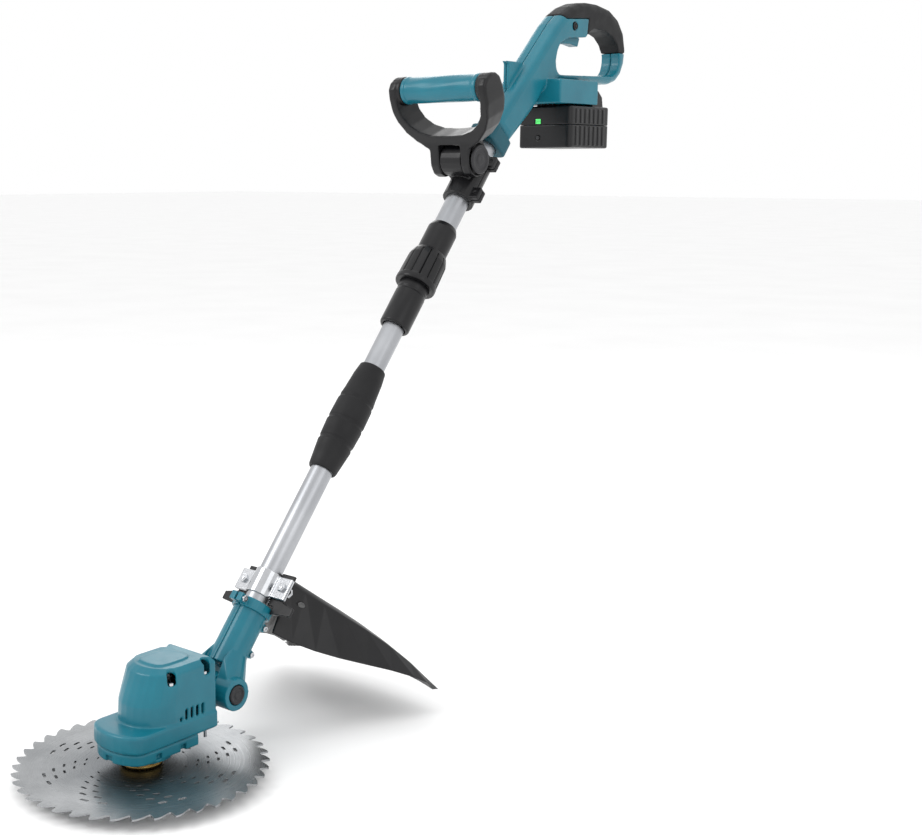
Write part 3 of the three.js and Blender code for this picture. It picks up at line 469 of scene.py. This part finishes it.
# ---------------------------------------------------------------- blade and its flanges
def blade_edge():
    """Hooked teeth, each a short ground top, a curved back and a round gullet."""
    _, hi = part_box("blade")
    radius = hi.x - 0.3 * MM
    pitch = 2 * math.pi / BLADE_TEETH
    outline = (  # drop from the tip circle in millimetres, share of the pitch
        (0, 0), (0.6, 0.16), (2.6, 0.36), (5.8, 0.58), (8.3, 0.72), (9.0, 0.8), (8.6, 0.87), (6.5, 0.93),
    )
    edge = []
    for i in range(BLADE_TEETH):
        start = i * pitch
        for drop, part in outline:
            r, a = radius - drop * MM, start + part * pitch
            edge.append((r * math.cos(a), r * math.sin(a)))
    return edge


def long_hole(radius, angle, length, width):
    """A slot with round ends, lying along the turn at a radius."""
    points = []
    cos, sin = math.cos(angle), math.sin(angle)
    for end in (1, -1):
        for k in range(7):
            a = math.pi * (k / 6 - 0.5) + (0 if end > 0 else math.pi)
            along = end * (length - width) + width * math.cos(a)
            out = radius + width * math.sin(a)
            points.append((out * cos - along * sin, out * sin + along * cos))
    return points


def make_blade():
    lo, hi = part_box("blade")
    bore_steps = [k * math.pi / 24 for k in range(48)]
    loops = [blade_edge(), [(BLADE_BORE * math.cos(a), BLADE_BORE * math.sin(a)) for a in bore_steps]]
    for fan in range(BLADE_FANS):
        for row in range(SLOT_ROWS):
            radius = (46 + 10 * row) * MM
            count = 1 if row == 0 else 2
            for i in range(count):
                angle = 2 * math.pi * fan / BLADE_FANS + i * 0.2 + 0.011 * radius / MM
                loops.append(long_hole(radius, angle, radius * 0.05, (0.9 + 0.16 * row) * MM))
    data = bpy.data.curves.new("blade_outline", "CURVE")
    data.dimensions, data.fill_mode = "2D", "BOTH"
    data.bevel_depth = 0.15 * MM
    data.bevel_resolution = 1
    data.extrude = (hi.z - lo.z) / 2 - data.bevel_depth
    for loop in loops:
        spline = data.splines.new("POLY")
        spline.points.add(len(loop) - 1)
        spline.use_cyclic_u = True
        for point, (x, y) in zip(spline.points, loop):
            point.co = (x, y, 0, 1)
    source = bpy.data.objects.new("blade_source", data)
    bpy.context.scene.collection.objects.link(source)
    mesh = bpy.data.meshes.new_from_object(source.evaluated_get(bpy.context.evaluated_depsgraph_get()))
    bpy.data.objects.remove(source)
    mesh.transform(Matrix.Translation((0, 0, (lo.z + hi.z) / 2)))
    piece("blade_fine", mesh, "blade", smooth=20)


def make_flanges():
    origin = Vector((0, 0, 0))
    low, high, reach, bore = span("inner_flange", origin, UP)
    shoulder = low + 4 * MM
    turned("flange_fine", "inner_flange", [
        (bore, low), (FLANGE_PILOT, low), (FLANGE_PILOT, shoulder - 2.1 * MM),
        (reach - 1.5 * MM, shoulder - 2 * MM), (reach, shoulder), (reach, high - 6 * MM),
        (reach - 0.7 * MM, high - 5.6 * MM), (reach - 0.7 * MM, high - 5 * MM),
        (reach, high - 4.6 * MM), (reach, high - 3 * MM), (reach - 3 * MM, high), (bore, high),
    ], origin, UP, 0.4 * MM)
    low, high, reach, bore = span("outer_flange", origin, UP)
    turned("washer_fine", "outer_flange", [
        (bore, low), (reach - 3 * MM, low), (reach, low + 1.8 * MM), (reach, high), (bore, high),
    ], origin, UP, 0.5 * MM)


make_blade()
make_flanges()


# ---------------------------------------------------------------- screws, bolts and nuts
def fastener(name, node, origin, axis, places, radii, sides, instead=True, slot=None):
    """A screw: its head from places[0] to places[1], and its shank on to places[2]."""
    (top, under, tip), (head, shank) = places, radii
    out = 1 if under > top else -1
    bm = bmesh.new()
    socket, deep = head * 0.46, out * 0.55 * abs(under - top)
    chamfer = out * 0.5 * MM
    turn(bm, [
        (0, top + deep), (socket, top + deep), (socket, top), (head * 0.86, top), (head, top + chamfer),
        (head, under), (0, under),
    ], origin, axis, sides)
    turn(bm, rounded([(0, under), (shank, under), (shank, tip), (0, tip)], 0.3 * MM), origin, axis, 32)
    return piece(name, as_mesh(bm, name), node, instead, slot, smooth=30)


def centre_of(node):
    lo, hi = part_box(node)
    return (lo + hi) / 2


for i in range(1, 5):
    node = f"cover_screw_{i}"
    lo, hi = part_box(node)
    spot = Vector(((lo.x + hi.x) / 2, (lo.y + hi.y) / 2, 0))
    fastener(node + "_fine", node, spot, UP, (hi.z, hi.z - 2.7 * MM, lo.z), (2.9 * MM, 1.6 * MM), SCREW_SIDES)

for name in ("guard_bolt_right", "guard_bolt_left"):
    spot = centre_of(name)
    low, high, _, _ = span(name, spot, BEHIND)
    fastener(name + "_fine", name, spot, BEHIND, (low, low + 3.8 * MM, high), (5.6 * MM, 2.5 * MM),
              HEX_SIDES)
    nut = bmesh.new()
    base = high - 4.6 * MM
    turn(nut, [(2.6 * MM, base), (5 * MM, base), (5 * MM, base + 3.2 * MM), (4.2 * MM, base + 3.8 * MM),
               (2.6 * MM, base + 3.8 * MM)], spot, BEHIND, HEX_SIDES)
    piece(name + "_nut", as_mesh(nut, name + "_nut"), name, instead=False, smooth=20)

lo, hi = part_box("arm_clamp_screw")
fastener("arm_clamp_screw_fine", "arm_clamp_screw", Vector((0, *centre_of("arm_clamp_screw").yz)), ACROSS,
         (hi.x, hi.x - 2.6 * MM, lo.x), (3.4 * MM, 1.8 * MM), SCREW_SIDES)
for i in (1, 2):
    node = f"arm_screw_{i}"
    lo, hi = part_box(node)
    fastener(node + "_fine", node, Vector((0, *centre_of(node).yz)), ACROSS,
             (hi.x, hi.x - 1.8 * MM, lo.x), (3 * MM, 1.5 * MM), SCREW_SIDES)
lo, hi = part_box("blade_bolt")
fastener("blade_bolt_fine", "blade_bolt", Vector((0, 0, 0)), UP, (lo.z, lo.z + 6 * MM, hi.z),
         (7.5 * MM, 3.9 * MM), HEX_SIDES)


def make_clamp_screws():
    """Cap screws that hold the two halves of the carry handle's clamp together."""
    low, high, _, _ = span("handle_clamp_rear", PIVOT, POLE)
    places = [(24, low + 9 * MM), (24, high - 9 * MM), (-24, high - 9 * MM)]
    for i, (x, t) in enumerate(places, 1):
        spot = PIVOT + POLE * t + ACROSS * x * MM
        fastener(f"handle_clamp_screw_{i}", "handle_clamp_front", spot, BEHIND,
                 (-8.8 * MM, -6.2 * MM, 5.6 * MM), (3.4 * MM, 1.9 * MM), SCREW_SIDES,
                 instead=False, slot="black_plastic")


make_clamp_screws()


# ---------------------------------------------------------------- battery
def slab(name, node, low, high, edge, instead=False, slot=None):
    """A small block with rolled edges between two corners."""
    bm = bmesh.new()
    bmesh.ops.create_cube(bm, size=1)
    size, middle = high - low, (high + low) / 2
    for vertex in bm.verts:
        vertex.co = Vector(c * s for c, s in zip(vertex.co, size)) + middle
    bmesh.ops.bevel(bm, geom=bm.edges, offset=edge, segments=3, affect="EDGES", profile=0.5)
    return piece(name, as_mesh(bm, name), node, instead, slot, smooth=50)


def make_battery_details():
    lo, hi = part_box("battery_case")
    lid_lo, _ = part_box("battery_lid")
    proud = 0.9 * MM
    for i in range(BATTERY_RIBS):
        y = lo.y + (hi.y - lo.y) * (0.16 + 0.68 * i / (BATTERY_RIBS - 1))
        for side, x in (("right", hi.x), ("left", lo.x)):
            for part, z0, z1, node in (("case", lo.z + 3 * MM, hi.z - 1.5 * MM, "battery_case"),
                                       ("lid", lid_lo.z + 1.5 * MM, 670 * MM, "battery_lid")):
                slab(f"battery_rib_{part}_{side}_{i + 1}", node, Vector((x - proud, y - 2.6 * MM, z0)),
                     Vector((x + proud, y + 2.6 * MM, z1)), 0.7 * MM)
    lens_lo, lens_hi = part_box("gauge_lens")
    height = lens_hi.z - lens_lo.z
    for i in range(GAUGE_BARS):
        z = lens_lo.z + height * (i + 0.5) / GAUGE_BARS
        slab(f"gauge_bar_{i + 1}", "gauge_lens",
             Vector((lens_lo.x + 1 * MM, lens_lo.y - 0.4 * MM, z - 0.55 * MM)),
             Vector((lens_hi.x - 1 * MM, lens_lo.y + 0.3 * MM, z + 0.55 * MM)), 0.15 * MM)
    slab("gauge_lens_fine", "gauge_lens", lens_lo, lens_hi, 0.25 * MM, instead=True, slot="black_plastic")
    button_lo, button_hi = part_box("gauge_button")
    radius = (button_hi.x - button_lo.x) / 2
    spot = Vector(((button_lo.x + button_hi.x) / 2, 0, (button_lo.z + button_hi.z) / 2))
    turned("gauge_button_fine", "gauge_button", [
        (0, button_hi.y), (radius, button_hi.y), (radius, button_lo.y + 0.6 * MM),
        (radius * 0.7, button_lo.y), (0, button_lo.y),
    ], spot, Vector((0, 1, 0)), 0.4 * MM, SCREW_SIDES)


make_battery_details()


# ---------------------------------------------------------------- studio
AZIMUTH, ELEVATION = math.radians(41.97), math.radians(9.64)
TARGET = Vector((0.090, 0.159, 0.356))
DISTANCE = 1.4036


def make_camera():
    data = bpy.data.cameras.new("camera")
    data.lens, data.sensor_width = 55.23, 36
    data.sensor_fit = "HORIZONTAL"
    data.shift_x, data.shift_y = 0.157, -0.006
    camera = bpy.data.objects.new("camera", data)
    flat = math.cos(ELEVATION)
    back = Vector((math.sin(AZIMUTH) * flat, -math.cos(AZIMUTH) * flat, math.sin(ELEVATION)))
    camera.location = TARGET + back * DISTANCE
    camera.rotation_euler = (-back).to_track_quat("-Z", "Y").to_euler()
    bpy.context.scene.collection.objects.link(camera)
    bpy.context.scene.camera = camera


def make_light(name, place, size, watts):
    data = bpy.data.lights.new(name, "AREA")
    data.size, data.energy = size, watts
    light = bpy.data.objects.new(name, data)
    light.location = place
    light.rotation_euler = (Vector((0, 0.4, 0.35)) - light.location).to_track_quat("-Z", "Y").to_euler()
    bpy.context.scene.collection.objects.link(light)


def make_floor():
    bm = bmesh.new()
    bmesh.ops.create_grid(bm, x_segments=1, y_segments=1, size=30)
    mesh = as_mesh(bm, "floor")
    floor = bpy.data.objects.new("floor", mesh)
    floor.location.z = -0.001
    material, tree, shader, place = new_material("pale_floor")
    patches = ranged(tree, noise(tree, place, 3), 0, 1)
    colour = mixed(tree, patches, (0.93, 0.93, 0.93), (0.96, 0.96, 0.96))
    tree.links.new(colour, shader.inputs["Base Color"])
    shader.inputs["Roughness"].default_value = 0.85
    mesh.materials.append(material)
    bpy.context.scene.collection.objects.link(floor)


make_camera()
make_floor()
make_light("key", Vector((-1.3, -1.7, 2.1)), 1.3, 26)
make_light("fill", Vector((2.3, -0.3, 1.5)), 1.6, 7)
make_light("overhead", Vector((0.2, 0.5, 2.9)), 2.0, 9)
make_light("rim", Vector((-1.6, 2.1, 1.6)), 1.2, 8)
world = bpy.data.worlds.new("studio")
world.use_nodes = True
world.node_tree.nodes["Background"].inputs["Color"].default_value = (1, 1, 1, 1)
world.node_tree.nodes["Background"].inputs["Strength"].default_value = 1.0
bpy.context.scene.world = world
bpy.context.scene.view_settings.view_transform = "Standard"
